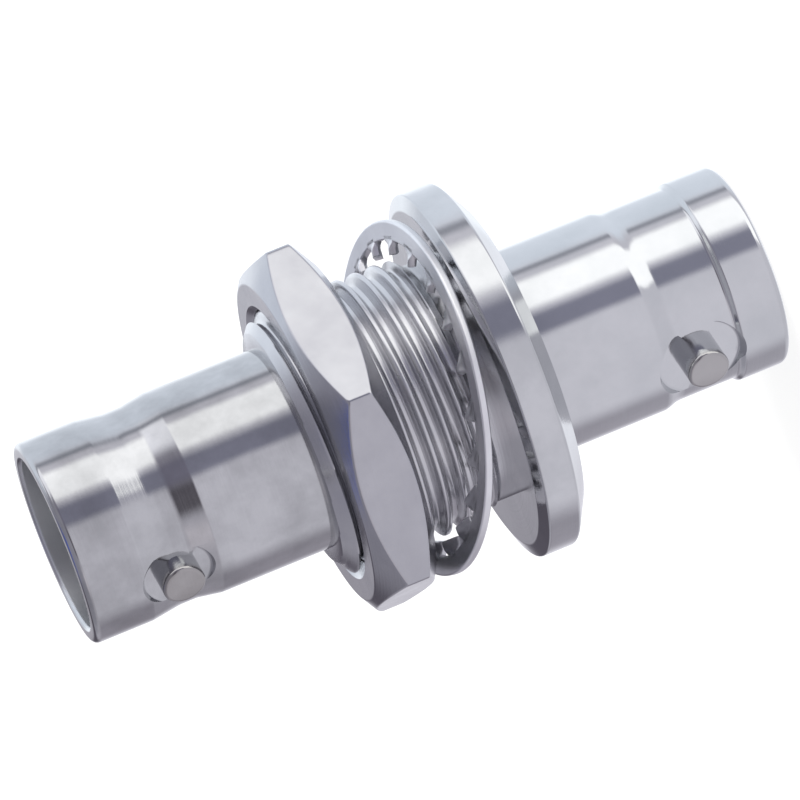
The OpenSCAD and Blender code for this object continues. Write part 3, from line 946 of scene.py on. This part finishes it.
glow = add(tree, "ShaderNodeEmission", {"Color": tone, "Strength": TENT_STRENGTH}).outputs[0]
tree.links.new(glow, out.inputs["Surface"])
tent.data.materials.append(cloth)
for kind in ("camera", "diffuse", "transmission", "volume_scatter", "shadow"):
    setattr(tent, "visible_" + kind, False)
print("nodes in the tent's cloth:", len(tree.nodes))

# %% [markdown]
# ## World and lamp
# The world gives an even fill from all sides, and counts as white where it is seen or
# mirrored. One round softbox from the side and above adds direction, so that the floor
# gets a soft shadow. Reflections don't see it, because the tent's cards are there for
# that.

# %% Light the scene
FILL = 0.55  # level of the world where it only lights
world = bpy.data.worlds.new("studio")
bpy.context.scene.world = world
world.use_nodes = True
tree = world.node_tree
tree.nodes.clear()
path = add(tree, "ShaderNodeLightPath")
seen = path.outputs["Is Camera Ray"]
for kind in ("Is Glossy Ray", "Is Transmission Ray"):
    seen = add(tree, "ShaderNodeMath", {0: seen, 1: path.outputs[kind]},
               operation="MAXIMUM").outputs[0]
level = add(tree, "ShaderNodeMapRange", {
    "Value": seen, "To Min": FILL, "To Max": 1.0}).outputs[0]
backdrop = add(tree, "ShaderNodeBackground", {"Color": (1, 1, 1, 1), "Strength": level})
output = add(tree, "ShaderNodeOutputWorld")
tree.links.new(backdrop.outputs[0], output.inputs["Surface"])

LAMP_WIDTH, LAMP_POWER, LAMP_PLACE, LAMP_AIM = 0.5, 3.2, (-0.25, 0.3, 0.62), (0, 0, 0.017)
lamp_data = bpy.data.lights.new("softbox", "AREA")
lamp_data.shape, lamp_data.size, lamp_data.energy = "DISK", LAMP_WIDTH, LAMP_POWER
softbox = bpy.data.objects.new("softbox", lamp_data)
bpy.context.scene.collection.objects.link(softbox)
softbox.location = LAMP_PLACE
aim = Vector(LAMP_AIM) - softbox.location
softbox.rotation_euler = aim.to_track_quat("-Z", "Y").to_euler()
softbox.visible_glossy = False
print("lamp at", [round(v, 2) for v in softbox.location])

# %% [markdown]
# ## Camera
# The camera stands ten degrees above the middle of the object and is rolled, so that
# the upright object lies aslant across the frame. Its axes are worked out from the
# direction it looks in, and the roll turns them about that direction.

# %% Place the camera
AZIMUTH, ELEVATION, ROLL = [math.radians(a) for a in (45.1, 10.022, -112.107)]
DISTANCE, AIM = 265.995 * MM, Vector((-0.122, 0.121, 17.227)) * MM
LENS, SENSOR = 264.33, 36.0
back = Vector((math.cos(ELEVATION) * math.cos(AZIMUTH), math.cos(ELEVATION) * math.sin(AZIMUTH),
               math.sin(ELEVATION)))
level_right = Vector((0, 0, 1)).cross(back).normalized()
level_up = back.cross(level_right)
right = math.cos(ROLL) * level_right + math.sin(ROLL) * level_up
axes = Matrix((right, back.cross(right), back)).transposed().to_4x4()
camera_data = bpy.data.cameras.new("camera")
camera_data.lens, camera_data.sensor_width = LENS, SENSOR
camera_data.clip_start, camera_data.clip_end = 0.01, 10.0
camera = bpy.data.objects.new("camera", camera_data)
bpy.context.scene.collection.objects.link(camera)
camera.matrix_world = Matrix.Translation(AIM + back * DISTANCE) @ axes
bpy.context.scene.camera = camera
bpy.context.scene.view_settings.view_transform = "Standard"
print("camera %.0f mm away" % (DISTANCE / MM))
